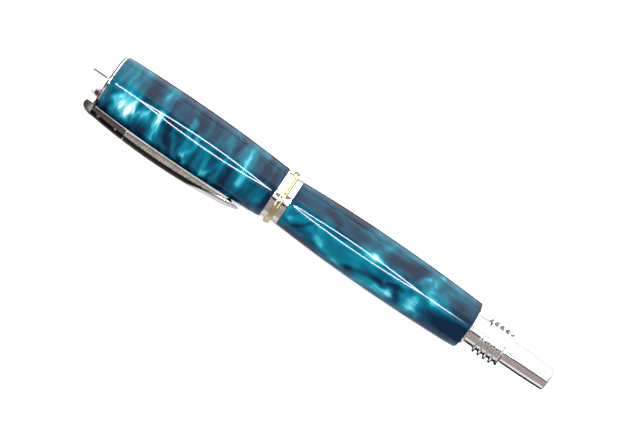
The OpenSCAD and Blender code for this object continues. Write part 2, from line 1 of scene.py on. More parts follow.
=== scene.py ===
"""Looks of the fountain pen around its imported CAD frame."""
import json
import math

import bmesh
import bpy
from mathutils import Matrix, Vector


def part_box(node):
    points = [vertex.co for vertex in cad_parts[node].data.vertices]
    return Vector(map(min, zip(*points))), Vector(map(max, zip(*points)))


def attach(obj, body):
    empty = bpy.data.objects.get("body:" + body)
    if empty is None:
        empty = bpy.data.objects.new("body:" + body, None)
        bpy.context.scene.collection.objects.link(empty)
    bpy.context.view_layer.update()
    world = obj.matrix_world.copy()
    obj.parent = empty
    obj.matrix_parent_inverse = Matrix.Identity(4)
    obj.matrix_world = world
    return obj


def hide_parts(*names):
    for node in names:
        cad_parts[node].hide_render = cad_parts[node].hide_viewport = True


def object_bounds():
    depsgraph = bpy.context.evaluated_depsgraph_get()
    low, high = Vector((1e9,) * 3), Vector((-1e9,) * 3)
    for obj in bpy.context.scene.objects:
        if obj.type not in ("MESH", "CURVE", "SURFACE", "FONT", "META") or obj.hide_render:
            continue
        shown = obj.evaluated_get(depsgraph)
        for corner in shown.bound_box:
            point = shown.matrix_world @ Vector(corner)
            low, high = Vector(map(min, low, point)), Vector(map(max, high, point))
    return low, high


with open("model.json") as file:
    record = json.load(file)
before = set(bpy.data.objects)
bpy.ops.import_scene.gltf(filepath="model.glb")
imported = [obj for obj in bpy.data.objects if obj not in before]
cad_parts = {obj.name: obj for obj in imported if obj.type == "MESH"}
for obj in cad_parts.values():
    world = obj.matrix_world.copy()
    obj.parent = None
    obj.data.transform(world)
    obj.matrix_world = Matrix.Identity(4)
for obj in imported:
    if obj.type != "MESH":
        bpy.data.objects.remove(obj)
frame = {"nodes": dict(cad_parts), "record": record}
cad_low, cad_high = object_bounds()

# ---------------------------------------------------------------- places
MM = 0.001
barrel_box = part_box("barrel_shell")
AXIS_Y = (barrel_box[0].y + barrel_box[1].y) / 2
AXIS_Z = (barrel_box[0].z + barrel_box[1].z) / 2
# Station 0 is the plane where the closed cap meets the barrel, 0.05 mm behind the gold ring
ZERO_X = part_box("cap_trim_ring")[1].x + 0.05 * MM
AXIS = Vector((ZERO_X, AXIS_Y, AXIS_Z))
clip_joint = next(j for j in frame["record"]["behaviour"]["joints"] if j["name"] == "clip_flex")
OUT = Vector((0, clip_joint["pos_m"][1] - AXIS_Y, clip_joint["pos_m"][2] - AXIS_Z)).normalized()
SIDE = OUT.cross(Vector((1, 0, 0)))  # across the clip, towards the camera's side
CAMERA_TURN = 42.1  # degrees above the horizon
ELEVATION = math.radians(CAMERA_TURN)

# The clip's crest, as distance from the pen's axis in mm: a flat arch that bends down more steeply to its tip
CREST_R, CREST_AT, CREST_BOW = 11.1, -32.5, 0.003
TIP_BOW_AT, TIP_BOW = -14.0, 0.011
CLIP_HALF, CLIP_CROWN = 2.0, 1.2


def radial(angle):
    """Unit vector across the pen, at an angle above the -Y side."""
    return Vector((0, -math.cos(angle), math.sin(angle)))


def at(station, radius=0.0, direction=None):
    """Row point at a station and radius in mm."""
    p = AXIS + Vector((station * MM, 0, 0))
    return p + direction * radius * MM if direction else p


def on_clip(station, dist, across):
    """Row point of the clip, from its distance to the pen's axis and its place across the clip."""
    return AXIS + Vector((station * MM, 0, 0)) + OUT * dist * MM + SIDE * across * MM


# ---------------------------------------------------------------- meshes
def finish_mesh(name, bm, sharp=35.0):
    """Object with welded, smooth-shaded faces; edges over the sharp angle stay crisp."""
    bmesh.ops.remove_doubles(bm, verts=bm.verts, dist=1e-7)
    bmesh.ops.recalc_face_normals(bm, faces=bm.faces)
    mesh = bpy.data.meshes.new(name)
    bm.to_mesh(mesh)
    bm.free()
    for p in mesh.polygons:
        p.use_smooth = True
    mesh.set_sharp_from_angle(angle=math.radians(sharp))
    obj = bpy.data.objects.new(name, mesh)
    bpy.context.scene.collection.objects.link(obj)
    return obj


def filleted(points, steps=5):
    """Closed outline [(a, b, fillet)] with its corners rounded, as [(a, b)]."""
    out = []
    n = len(points)
    for i, (a, b, *rest) in enumerate(points):
        r = rest[0] if rest else 0.0
        if r <= 0:
            out.append((a, b))
            continue
        p = Vector((a, b))
        q0, q1 = Vector(points[i - 1][:2]), Vector(points[(i + 1) % n][:2])
        d0, d1 = (q0 - p), (q1 - p)
        l0, l1 = d0.length, d1.length
        d0, d1 = d0.normalized(), d1.normalized()
        half = math.acos(max(-1, min(1, d0.dot(d1)))) / 2
        t = min(r / math.tan(half), 0.49 * l0, 0.49 * l1)
        r = t * math.tan(half)
        centre = p + (d0 + d1).normalized() * r / math.sin(half)
        s, e = p + d0 * t - centre, p + d1 * t - centre
        turn = math.atan2(s.x * e.y - s.y * e.x, s.dot(e))
        for k in range(steps + 1):
            c, w = math.cos(turn * k / steps), math.sin(turn * k / steps)
            out.append(tuple(centre + Vector((c * s.x - w * s.y, w * s.x + c * s.y))))
    return out


def revolve(bm, outline, segs=128, closed=True, origin=None, axis=None, start=None):
    """Turns an outline [(station, radius)] round the pen's axis, or round another one."""
    other = axis.cross(start) if axis else None
    rings = []
    for station, radius in outline:
        ring = []
        for k in range(segs if radius > 1e-6 else 1):
            a = 2 * math.pi * k / segs
            if axis is None:
                place = at(station, radius, radial(a))
            else:
                place = origin + axis * station * MM + (start * math.cos(a) + other * math.sin(a)) * radius * MM
            ring.append(bm.verts.new(place))
        rings.append(ring)
    pairs = list(zip(rings, rings[1:])) + ([(rings[-1], rings[0])] if closed else [])
    for r0, r1 in pairs:
        n = max(len(r0), len(r1))
        if n == 1:
            continue
        for k in range(n):
            quad = [r0[k % len(r0)], r0[(k + 1) % len(r0)], r1[(k + 1) % len(r1)], r1[k % len(r1)]]
            quad = list(dict.fromkeys(quad))
            if len(quad) > 2:
                bm.faces.new(quad)


def turned(name, points, segs=128):
    """Turned part from a closed outline [(station, radius, fillet)]."""
    bm = bmesh.new()
    revolve(bm, filleted(points), segs)
    return finish_mesh(name, bm)


def ridge(t):
    """Height of a thread's crest, 0 to 1, over one turn of t."""
    return min(1.0, max(0.0, 0.5 + 0.85 * math.cos(2 * math.pi * t)))


def thread(bm, s0, s1, root, crest, starts=2, pitch=1.65, around=96, fade=0.9, step=0.11):
    """A right-hand helical thread between two stations, running out at both ends."""
    n = max(4, int((s1 - s0) / step))
    rings = []
    for i in range(n + 1):
        s = s0 + (s1 - s0) * i / n
        run = min(1.0, (s - s0) / fade, (s1 - s) / fade)
        ring = []
        for k in range(around):
            a = 2 * math.pi * k / around
            height = ridge(starts * a / (2 * math.pi) + (s - s0) / pitch + 0.91)
            ring.append(bm.verts.new(at(s, root + (crest - root) * height * max(0.0, run) ** 0.6, radial(a))))
        rings.append(ring)
    for r0, r1 in zip(rings, rings[1:]):
        for k in range(around):
            bm.faces.new([r0[k], r0[(k + 1) % around], r1[(k + 1) % around], r1[k]])


def lofted(bm, sections):
    """Joins closed sections with equally many points, and closes both ends."""
    rings = [[bm.verts.new(p) for p in s] for s in sections]
    m = len(rings[0])
    for r0, r1 in zip(rings, rings[1:]):
        for k in range(m):
            bm.faces.new([r0[k], r0[(k + 1) % m], r1[(k + 1) % m], r1[k]])
    bm.faces.new(rings[0])
    bm.faces.new(rings[-1])


# ---------------------------------------------------------------- node helpers
BUMP_DEPTH = 0.0001


class Look:
    """A material under construction."""

    def __init__(self, name):
        self.material = bpy.data.materials.new(name)
        self.material.use_nodes = True
        self.tree = self.material.node_tree
        self.shader = self.tree.nodes["Principled BSDF"]

    def node(self, kind, inputs=None, **settings):
        n = self.tree.nodes.new("ShaderNode" + kind)
        for k, v in settings.items():
            setattr(n, k, v)
        for k, v in (inputs or {}).items():
            self.feed(n.inputs[k], v)
        return n

    def feed(self, socket, value):
        if isinstance(value, bpy.types.NodeSocket):
            self.tree.links.new(value, socket)
        else:
            socket.default_value = value

    def math(self, op, a, b=0.0, clamp=False):
        n = self.node("Math", {0: a, 1: b}, operation=op)
        n.use_clamp = clamp
        return n.outputs[0]

    def vec(self, op, a, b=None, scale=None):
        n = self.node("VectorMath", {0: a}, operation=op)
        if b is not None:
            self.feed(n.inputs[1], b)
        if scale is not None:
            self.feed(n.inputs["Scale"], scale)
        return n.outputs["Value"] if op in ("DOT_PRODUCT", "LENGTH", "DISTANCE") else n.outputs["Vector"]

    def place(self):
        """Pen coordinates in mm: station, and distances from the axis along Y and Z."""
        coord = self.node("TexCoord").outputs["Object"]
        return self.vec("SCALE", self.vec("SUBTRACT", coord, tuple(AXIS)), scale=1000.0)

    def noise(self, where, scale, detail=2.0, rough=0.5, colour=False):
        n = self.node("TexNoise", {"Vector": where, "Scale": scale, "Detail": detail, "Roughness": rough})
        return n.outputs["Color" if colour else "Fac"]

    def warp(self, where, scale, amount, shift):
        moved = self.vec("ADD", where, shift)
        swirl = self.vec("SUBTRACT", self.noise(moved, scale, 2.0, colour=True), (0.5, 0.5, 0.5))
        return self.vec("ADD", where, self.vec("SCALE", swirl, scale=amount))

    def remap(self, value, low, high, to_low=0.0, to_high=1.0):
        """Smooth step between two values, held level outside them."""
        n = self.node("MapRange", {"Value": value, "From Min": low, "From Max": high, "To Min": to_low,
                                   "To Max": to_high}, interpolation_type="SMOOTHSTEP")
        return n.outputs["Result"]

    def ramp(self, value, stops):
        n = self.node("ValToRGB", {"Fac": value})
        e = n.color_ramp.elements
        for i, (p, c) in enumerate(stops):
            item = e[i] if i < 2 else e.new(p)
            item.position = p
            item.color = (*c, 1.0)
        return n.outputs["Color"]

    def mix(self, fac, a, b):
        n = self.node("Mix", data_type="RGBA")
        self.feed(n.inputs[0], fac)
        for i, v in ((6, a), (7, b)):
            self.feed(n.inputs[i], (*v, 1.0) if isinstance(v, tuple) and len(v) == 3 else v)
        return n.outputs[2]

    def bump(self, height, strength):
        n = self.node("Bump", {"Height": height, "Strength": strength, "Distance": BUMP_DEPTH})
        self.feed(self.shader.inputs["Normal"], n.outputs["Normal"])

    def set(self, **values):
        for k, v in values.items():
            self.feed(self.shader.inputs[k.replace("_", " ")], v)


def metal(name, base, tone, rough_low, rough_high, brushed=0.0):
    """Polished metal with a faint haze, fine turning marks and small differences of tone."""
    k = Look(name)
    p = k.place()
    haze = k.noise(p, 0.22, 3.0, 0.6)
    marks = k.noise(k.vec("MULTIPLY", p, (9.0, 0.5, 0.5)), 1.0, 2.0, 0.6)
    k.set(Base_Color=k.mix(k.remap(haze, 0.35, 0.65), base, tone), Metallic=1.0,
          Roughness=k.remap(k.math("ADD", haze, k.math("MULTIPLY", marks, 0.35)), 0.45, 0.95, rough_low, rough_high))
    k.bump(marks, 0.02 + brushed)
    return k.material


def plastic(name, base, tone, rough_low, rough_high, grain, coat=0.0):
    """Plastic with small differences of tone and a fine grain."""
    k = Look(name)
    p = k.place()
    tint = k.noise(p, 0.35, 3.0, 0.6)
    speck = k.noise(p, grain, 3.0, 0.7)
    k.set(Base_Color=k.mix(k.remap(tint, 0.3, 0.7), base, tone), Coat_Weight=coat, Coat_Roughness=0.04,
          Roughness=k.remap(speck, 0.3, 0.7, rough_low, rough_high))
    k.bump(speck, 0.04)
    return k.material


def clear_plastic(name):
    k = Look(name)
    p = k.place()
    haze = k.noise(p, 0.5, 3.0, 0.6)
    k.set(Base_Color=k.mix(haze, (0.86, 0.92, 0.94), (0.93, 0.96, 0.97)), Transmission_Weight=0.85, IOR=1.45,
          Roughness=k.remap(haze, 0.3, 0.7, 0.03, 0.1))
    return k.material


# Pigments of the resin, from the dark ground to the brightest pearl, with their share of the range
PIGMENTS = [
    (0.0, (0.0, 0.009, 0.026)),    # navy
    (0.16, (0.0, 0.026, 0.054)),   # ink
    (0.36, (0.0, 0.058, 0.098)),   # teal
    (0.58, (0.0, 0.13, 0.185)),    # cyan
    (0.8, (0.06, 0.36, 0.43)),     # pale
    (1.0, (0.56, 0.66, 0.67)),     # white
]


def resin(name, radius, strands, stretch, warps, tone, veins):
    """Pearl resin: warped clouds of pigment, with strands of pearl or dark pigment drawn through them.

    Each strand is ((station, angle), (station, angle), width, gain): stations and width in mm, angles in degrees
    below the line to the camera, and a gain that is negative where the strand is dark.
    """
    cloud_low, cloud_high, vein_gain, silk_gain = tone
    k = Look(name)
    p = k.place()
    q = p
    for scale, amount, shift in warps:
        q = k.warp(q, scale, amount, shift)
    along = k.vec("MULTIPLY", q, stretch)
    cloud = k.noise(along, 1.0, 1.5, 0.45)
    vein = k.noise(k.vec("ADD", along, (7.3, 2.1, 4.7)), veins, 1.0, 0.4)
    silk = k.noise(k.vec("MULTIPLY", q, tuple(4 * x for x in stretch)), 1.0, 2.0, 0.5)
    total = k.remap(cloud, 0.3, 0.74, cloud_low, cloud_high)
    thin = k.math("SUBTRACT", 1.0, k.math("ABSOLUTE", k.math("SUBTRACT", k.math("MULTIPLY", vein, 2.0), 1.0)))
    total = k.math("ADD", total, k.remap(thin, 0.8, 1.0, 0.0, vein_gain))
    total = k.math("ADD", total, k.math("MULTIPLY", k.math("SUBTRACT", silk, 0.5), silk_gain))
    body = k.remap(silk, 0.3, 0.7, 0.7, 1.15)
    # Strands are laid out on the unrolled surface: station, and distance round it below the line to the camera
    part = k.node("SeparateXYZ", {0: q}).outputs
    around = k.math("SUBTRACT", ELEVATION, k.math("ARCTAN2", part[2], k.math("MULTIPLY", part[1], -1.0)))
    flat = k.node("CombineXYZ", {0: part[0], 1: k.math("MULTIPLY", around, radius)}).outputs[0]
    for (s0, a0), (s1, a1), width, gain in strands:
        start = Vector((s0, math.radians(a0) * radius, 0))
        end = Vector((s1, math.radians(a1) * radius, 0))
        leg = end - start
        rel = k.vec("SUBTRACT", flat, tuple(start))
        t = k.math("DIVIDE", k.vec("DOT_PRODUCT", rel, tuple(leg)), leg.length_squared, clamp=True)
        gap = k.vec("LENGTH", k.vec("SUBTRACT", rel, k.vec("SCALE", tuple(leg), scale=t)))
        total = k.math("ADD", total, k.math("MULTIPLY", k.remap(gap, width, 0.0, 0.0, gain), body))
    total = k.math("ADD", total, 0.0, clamp=True)
    k.set(Base_Color=k.ramp(total, PIGMENTS), Metallic=k.remap(total, 0.4, 1.0, 0.0, 0.2),
          Roughness=k.remap(silk, 0.3, 0.7, 0.36, 0.5), Coat_Weight=1.0, Coat_Roughness=0.012, Coat_IOR=1.3,
          Specular_IOR_Level=0.0)
    return k.material


def clip_metal_painted_dark(name, painted_dark_base):
    """Chrome with a painted dark reflection and painted shade: a dark base colour over the clip's root and arch,
    where polished chrome would mirror the dark studio; towards the tip, chrome spreads from the crest down the
    sides.
    """
    k = Look(name)
    p = k.place()
    station = k.node("SeparateXYZ", {0: p}).outputs[0]
    crest = k.math("POWER", k.math("ADD", station, -CREST_AT), 2.0)
    end = k.math("POWER", k.math("MAXIMUM", k.math("ADD", station, -TIP_BOW_AT), 0.0), 2.0)
    depth = k.math("SUBTRACT", k.math("SUBTRACT", CREST_R, k.math("MULTIPLY", crest, CREST_BOW)),
                   k.math("ADD", k.vec("DOT_PRODUCT", p, tuple(OUT)), k.math("MULTIPLY", end, TIP_BOW)))
    chrome_depth = k.remap(station, -25.0, -12.0, -0.1, 1.1)
    # Painted dark reflection and shade: this mask is 1 where the surface lies deeper below the crest than
    # chrome_depth, and there the dark base colour goes
    dark = k.remap(k.math("SUBTRACT", depth, chrome_depth), -0.08, 0.08)
    haze = k.noise(p, 0.22, 3.0, 0.6)
    shade = k.mix(k.remap(haze, 0.35, 0.65), painted_dark_base, tuple(0.8 * c for c in painted_dark_base))
    k.set(Base_Color=k.mix(dark, (0.88, 0.88, 0.89), shade), Metallic=1.0,
          Roughness=k.remap(dark, 0.0, 1.0, 0.06, 0.26))
    return k.material


chrome = metal("polished_chrome", (0.9, 0.9, 0.91), (0.84, 0.84, 0.85), 0.03, 0.08)
# Painted dark reflection and shade of the clip: the channel's base colour is darker, as it lies deeper in shade, the
# blade's a little lighter
channel_metal_painted_dark = clip_metal_painted_dark("clip_channel_painted_reflection", (0.011, 0.0095, 0.0085))
blade_metal_painted_dark = clip_metal_painted_dark("clip_blade_painted_reflection", (0.038, 0.034, 0.029))
gold = metal("polished_gold", (0.84, 0.74, 0.44), (0.74, 0.62, 0.32), 0.05, 0.12)
nib_gold = metal("nib_gold_plate", (0.95, 0.76, 0.4), (0.88, 0.66, 0.3), 0.1, 0.18)
brass = metal("turned_brass", (0.78, 0.6, 0.28), (0.66, 0.48, 0.2), 0.2, 0.36, 0.12)
steel = metal("bright_steel", (0.7, 0.7, 0.72), (0.6, 0.6, 0.62), 0.14, 0.26, 0.08)
black = plastic("polished_black", (0.012, 0.012, 0.014), (0.022, 0.022, 0.024), 0.12, 0.2, 2.0, 0.6)
matte_black = plastic("moulded_black", (0.016, 0.016, 0.017), (0.03, 0.03, 0.031), 0.4, 0.6, 4.0)
liner = plastic("moulded_liner", (0.62, 0.63, 0.62), (0.74, 0.74, 0.72), 0.35, 0.5, 3.0)
clear = clear_plastic("clear_plastic")

CAP_STRANDS = [
    ((-46.2, 34), (-40.2, 15), 5.2, 0.46), ((-44.2, 30), (-39.6, 22), 3.8, 0.4),
    ((-50.2, 40), (-47.8, 12), 1.4, 0.26), ((-36.2, 2), (-35.7, 54), 1.9, 0.4),
    ((-38.7, -12), (-35.2, -52), 1.8, 0.2), ((-28.6, -24), (-27.4, 48), 1.5, 0.6),
    ((-26.2, -4), (-26.1, 62), 1.4, 0.5), ((-31.5, 10), (-28.6, 64), 1.1, 0.2),
    ((-23, 6), (-22, 48), 3.4, 0.28), ((-18.2, 6), (-20.6, 60), 1.3, 0.28),
    ((-13.2, -48), (-12.4, 24), 2.0, 0.32), ((-7.6, 10), (-6.4, 38), 3.2, 0.26),
    ((-4.2, -52), (-3.6, -8), 1.3, 0.26), ((-33, 6), (-32, 40), 2.0, -0.22),
    ((-16, 14), (-15, 52), 2.6, -0.3), ((-18.4, -54), (-16.8, -18), 1.4, -0.24),
    ((-10, -40), (-7, -24), 1.8, -0.25), ((-44, -40), (-40, -20), 4.0, -0.14),
]
BARREL_STRANDS = [
    ((29.3, -54), (27.6, -16), 2.0, 0.2), ((27.0, -10), (24.6, 26), 4.8, 0.17), ((28.2, -4), (31, 12), 3.4, 0.1),
    ((22.5, 68), (34, 40), 2.0, 0.4), ((25, 72), (33, 56), 2.6, 0.24), ((40.6, 24), (39.8, 66), 3.0, 0.28),
    ((3, 34), (6.4, 8), 1.8, 0.22), ((12, 32), (19.5, 54), 2.2, 0.24), ((9, 24), (13, 34), 2.6, 0.14),
    ((36.5, 2), (41, -30), 1.4, 0.24), ((44, -62), (43, -20), 1.8, 0.2), ((45, 4), (49, 6), 2.4, 0.24),
    ((34.5, 18), (36.5, 46), 1.8, -0.4), ((36.2, 16), (33.4, 20), 1.4, -0.3), ((47, 18), (55, 34), 4.0, -0.34),
    ((10.5, -38), (14.5, -22), 2.2, -0.34), ((22, 44), (31, 28), 1.2, -0.34), ((8, 14), (4.6, 46), 0.9, -0.26),
    ((38, -34), (31, -26), 3.0, -0.16),
]
resin_cap = resin("pearl_resin_cap", 7.6, CAP_STRANDS, (0.2, 0.05, 0.05),
                  [(0.07, 2.6, (0.0, 0.0, 0.0)), (0.24, 1.5, (11.0, 5.0, 2.0))], (-0.04, 0.44, 0.16, 0.26), 1.1)
resin_barrel = resin("pearl_resin_barrel", 6.9, BARREL_STRANDS, (0.07, 0.12, 0.12),
                     [(0.06, 3.2, (3.0, 9.0, 1.0)), (0.2, 2.0, (1.0, 14.0, 6.0))], (-0.04, 0.44, 0.18, 0.28), 1.2)

# ---------------------------------------------------------------- pieces
def piece(obj, body, slot, material, *nodes):
    """Gives an object its material and body, and takes the CAD nodes that it replaces out of view."""
    obj.data.materials.append(material)
    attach(obj, body)
    if nodes:
        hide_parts(*nodes)
    return obj


def resin_body(name, x0, r0, xm, rm, x1, r1, bore):
    """Swelling body: radius r0 at its start, rm at its widest station, r1 at its end."""
    n = 72
    edge_fillet = 0.4
    pts = [(x0, bore), (x0, r0, edge_fillet)]
    for i in range(2, n - 1):
        x = x0 + (x1 - x0) * i / n
        end_x, end_r = (x0, r0) if x < xm else (x1, r1)
        pts.append((x, rm - (rm - end_r) * ((x - xm) / (end_x - xm)) ** 2))
    pts += [(x1, r1, edge_fillet), (x1, bore)]
    return turned(name, pts, 160)


piece(resin_body("resin_cap", -51.7, 7.45, -29.5, 7.97, -3.0, 7.05, 6.25), "cap", "resin", resin_cap, "cap_shell")
piece(resin_body("resin_barrel", 1.6, 6.3, 29.0, 7.19, 55.85, 6.5, 5.27), "barrel", "resin", resin_barrel,
      "barrel_shell")

# Finial: a slightly tapered stub with a round edge, a shallow dish in its end and a stud into the cap
finial_outline = [(-49.0, 0.0), (-49.0, 2.5, 0.1), (-52.45, 2.5), (-52.45, 5.5, 0.08), (-57.8, 4.72, 1.1),
                  (-57.8, 2.6, 0.1), (-57.72, 2.45, 0.1), (-57.68, 0.0)]
piece(turned("finial_stub", finial_outline), "cap", "chrome", chrome, "finial")

# Clip washer, stepped round its edge, with its raised head
HEAD_STATION, HEAD_DIST, HEAD_HALF_LEN, HEAD_HALF_HEIGHT = -53.0, 8.4, 1.6, 1.9
HEAD_FROM_R = 7.2
STEP_STATIONS, STEP_FROM_R = (-52.4, -52.0), 6.8
bm = bmesh.new()
revolve(bm, filleted([(-52.45, 2.6), (-52.45, 6.95, 0.04), (-52.12, 6.95), (-52.12, 7.1, 0.06),
                      (-51.7, 7.1, 0.1), (-51.7, 2.6)]))
head = filleted([(-52.45, 6.6), (-52.45, 7.45, 0.1), (-54.3, 7.45, 0.15), (-54.65, 8.45, 0.35), (-54.4, 9.1, 0.5),
                 (-53.5, 9.5, 0.6), (-52.6, 9.75, 0.3), (-51.72, 9.93, 0.1), (-51.72, 6.6)], 4)
levels = [(-2.0, 0.22), (-1.94, 0.08), (-1.8, 0.0), (1.8, 0.0), (1.94, 0.08), (2.0, 0.22)]  # across, bevel
lofted(bm, [[on_clip(HEAD_STATION + (s - HEAD_STATION) * (1 - bevel / HEAD_HALF_LEN),
                     HEAD_DIST + (d - HEAD_DIST) * (1 - bevel / HEAD_HALF_HEIGHT), w) for s, d in head]
            for w, bevel in levels])
washer = piece(finish_mesh("clip_washer", bm), "cap", "chrome", chrome, "clip_ring")
# Painted dark reflection and shade on the washer: its raised head gets the blade's dark base colour, and the step
# round its edge the channel's darker one
washer.data.materials.append(channel_metal_painted_dark)
washer.data.materials.append(blade_metal_painted_dark)
for p in washer.data.polygons:
    station = (p.center.x - ZERO_X) / MM
    reach = (Vector((0, p.center.y, p.center.z)) - Vector((0, AXIS_Y, AXIS_Z))).length / MM
    if reach > HEAD_FROM_R:
        p.material_index = 2
    elif STEP_STATIONS[0] < station < STEP_STATIONS[1] and reach > STEP_FROM_R:
        p.material_index = 1


def clip_top(x):
    return CREST_R - CREST_BOW * (x - CREST_AT) ** 2 - TIP_BOW * max(0.0, x - TIP_BOW_AT) ** 2


def arch(x, half, foot, top, sheet, crown, roundness=0.12):
    """Closed section of the folded sheet: outside from one foot to the other, then back along the inside."""
    centre = top - crown
    steps = 20
    turns = [math.pi * i / steps for i in range(steps + 1)]
    outer = [(half, foot + roundness)]
    outer += [(half * math.cos(a), centre + crown * math.sin(a)) for a in turns]
    outer += [(-half, foot + roundness)]
    inner_half, inner_crown = max(half - sheet, 0.05), max(crown - sheet, 0.03)
    inner = [(-(half - sheet), foot + roundness)]
    inner += [(-inner_half * math.cos(a), centre + inner_crown * math.sin(a)) for a in turns]
    inner += [(half - sheet, foot + roundness)]
    lip = [(half - sheet * 0.85, foot + roundness * 0.3), (half - sheet / 2, foot),
           (half - sheet * 0.15, foot + roundness * 0.3)]
    other_lip = [(-w, d) for w, d in reversed(lip)]
    return [on_clip(x, d, w) for w, d in outer + other_lip + inner + lip]


# Fixed channel of the clip
CHANNEL_X0, CHANNEL_LEN = -51.68, 9.83
bm = bmesh.new()
n = 24
sections = []
for i in range(n + 1):
    t = i / n
    x = CHANNEL_X0 + CHANNEL_LEN * t
    sections.append(arch(x, CLIP_HALF, 7.9 + 0.5 * t, clip_top(x), 0.5, CLIP_CROWN))
lofted(bm, sections)
# The channel's sides and root carry a painted dark reflection and painted shade as their base colour
piece(finish_mesh("clip_channel_fold", bm), "cap", "chrome", channel_metal_painted_dark, "clip_channel")

# Its two cross pins, with a thin rim round each head
PINS = ((-49.6, 9.22), (-44.4, 9.5))
bm = bmesh.new()
for station, dist in PINS:
    for sign in (-1, 1):
        revolve(bm, filleted([(1.75, 0.0), (1.75, 0.42), (2.0, 0.42), (2.0, 0.6, 0.04), (2.06, 0.6, 0.04),
                              (2.08, 0.44, 0.03), (2.13, 0.3, 0.1), (2.14, 0.0)], 3), 40, False,
                on_clip(station, dist, 0), SIDE * sign, OUT)
    revolve(bm, [(-1.8, 0.0), (-1.8, 0.41), (1.8, 0.41), (1.8, 0.0)], 32, False,
            on_clip(station, dist, 0), SIDE, OUT)
# The pins carry the blade's painted dark reflection and shade as their base colour
piece(finish_mesh("clip_pins", bm), "cap", "chrome", blade_metal_painted_dark, "clip_rivets")

# Spring blade of the clip, with a rounded tip, a dimple under it and a tongue into the channel
BLADE_X0, BLADE_LEN = -41.55, 33.45
ROUND_FROM, ROUND_LEN, TIP_HALF = -12.2, 4.1, 0.22
DIMPLE_STATION, DIMPLE_DIST, DIMPLE_R = -11.2, 8.55, 0.95
bm = bmesh.new()
n = 90
sections = []
for i in range(n + 1):
    x = BLADE_X0 + BLADE_LEN * i / n
    end = max(0.0, (x - ROUND_FROM) / ROUND_LEN)
    round_off = math.sqrt(max(0.0, 1 - end ** 2))
    half = TIP_HALF + (CLIP_HALF - TIP_HALF) * round_off
    foot = 8.6 - 0.25 * (i / n) ** 4 + 0.25 * (1 - round_off)
    top = clip_top(x) - 0.35 * (1 - round_off)
    crown = min(CLIP_CROWN, top - foot - 0.18)
    sections.append(arch(x, half, foot, top, min(0.45, half * 0.45), crown, 0.1))
lofted(bm, sections)
revolve(bm, [(-DIMPLE_R * math.cos(math.pi * i / 16), DIMPLE_R * math.sin(math.pi * i / 16)) for i in range(17)],
        32, False, on_clip(DIMPLE_STATION, DIMPLE_DIST, 0), OUT, SIDE)
tongue = filleted([(-46.5, 9.1, 0.1), (-46.5, 9.45, 0.1), (-44.6, 10.0, 0.3), (-41.85, 10.0), (-40.95, 10.55),
                   (-38, clip_top(-38) - 0.35), (-38, clip_top(-38) - 1.1, 0.2), (-42.5, 9.2), (-44.4, 8.9, 0.3)], 3)
lofted(bm, [[on_clip(s, d, w) for s, d in tongue] for w in (-0.9, 0.9)])
# The blade carries a painted dark reflection and painted shade over its root and sides, with chrome near the crest
# towards the tip
piece(finish_mesh("clip_spring_blade", bm, 30), "clip", "chrome", blade_metal_painted_dark, "clip_blade")

# Cap coupler: lip and drum at the cap's mouth, with the internal thread
bm = bmesh.new()
revolve(bm, filleted([(-8.2, 5.27), (-11.5, 5.27), (-11.5, 5.88, 0.1), (-3.0, 5.88), (-3.0, 6.95, 0.06),
                      (-2.65, 6.95, 0.06), (-2.65, 6.5), (-0.35, 6.5), (-0.35, 5.6), (-2.0, 5.6), (-2.0, 5.5)]),
        128, False)
thread(bm, -8.2, -2.0, 5.5, 5.05)
piece(finish_mesh("cap_mouth_coupler", bm), "cap", "chrome", chrome, "cap_coupler")

# Gold ring, turned to two beads
ring = [(-1.6, 6.5), (-1.6, 7.15, 0.1), (-1.48, 7.35, 0.12), (-1.25, 7.5, 0.25), (-0.77, 7.5, 0.25),
        (-0.57, 7.36, 0.1), (-0.47, 7.24, 0.06), (-0.37, 7.36, 0.1), (-0.2, 7.42, 0.1), (-0.05, 7.25, 0.08),
        (-0.05, 5.6, 0.1), (-0.35, 5.6), (-0.35, 6.5)]
piece(turned("gold_ring", ring, 160), "cap", "gold", gold, "cap_trim_ring")

# Barrel coupler: drum and lip, fine thread rings inside
FINE_PITCH = 0.9
fine = []
for i in range(9, -1, -1):
    fine += [(0.6 + (i + part) * FINE_PITCH, r)
             for part, r in ((0.95, 4.12), (0.7, 4.42), (0.55, 4.42), (0.3, 4.12))]
coupler = [(0.05, 4.42), (0.05, 6.2, 0.08), (1.05, 6.2, 0.04), (1.17, 6.35, 0.08), (1.6, 6.35, 0.05), (1.6, 4.92),
           (10.5, 4.92), (10.5, 4.12)] + fine + [(0.6, 4.12)]
piece(turned("barrel_front_coupler", coupler), "barrel", "chrome", chrome, "barrel_coupler")

# Section: thread for the cap, shoulder, fine thread for the barrel
bm = bmesh.new()
ridges = []
for i in range(9):
    x = 0.3 + i * FINE_PITCH
    ridges += [(x + 0.09, 3.75), (x + 0.36, 4.05), (x + 0.5, 4.05), (x + 0.77, 3.75)]
collar = [(-7.9, 4.05), (-7.9, 4.85, 0.1), (-8.35, 4.85, 0.1), (-8.35, 3.7), (-13.5, 3.7), (-13.5, 3.2),
          (8.5, 3.2), (8.5, 3.75, 0.1)] + ridges[::-1]
collar += [(0.0, 3.75), (0.0, 5.3, 0.1), (-1.5, 5.3, 0.1), (-1.5, 4.05)]
revolve(bm, filleted(collar), 96, False)
thread(bm, -7.9, -1.5, 4.05, 4.95)
piece(finish_mesh("section_threads", bm), "section", "chrome", chrome, "section_collar")

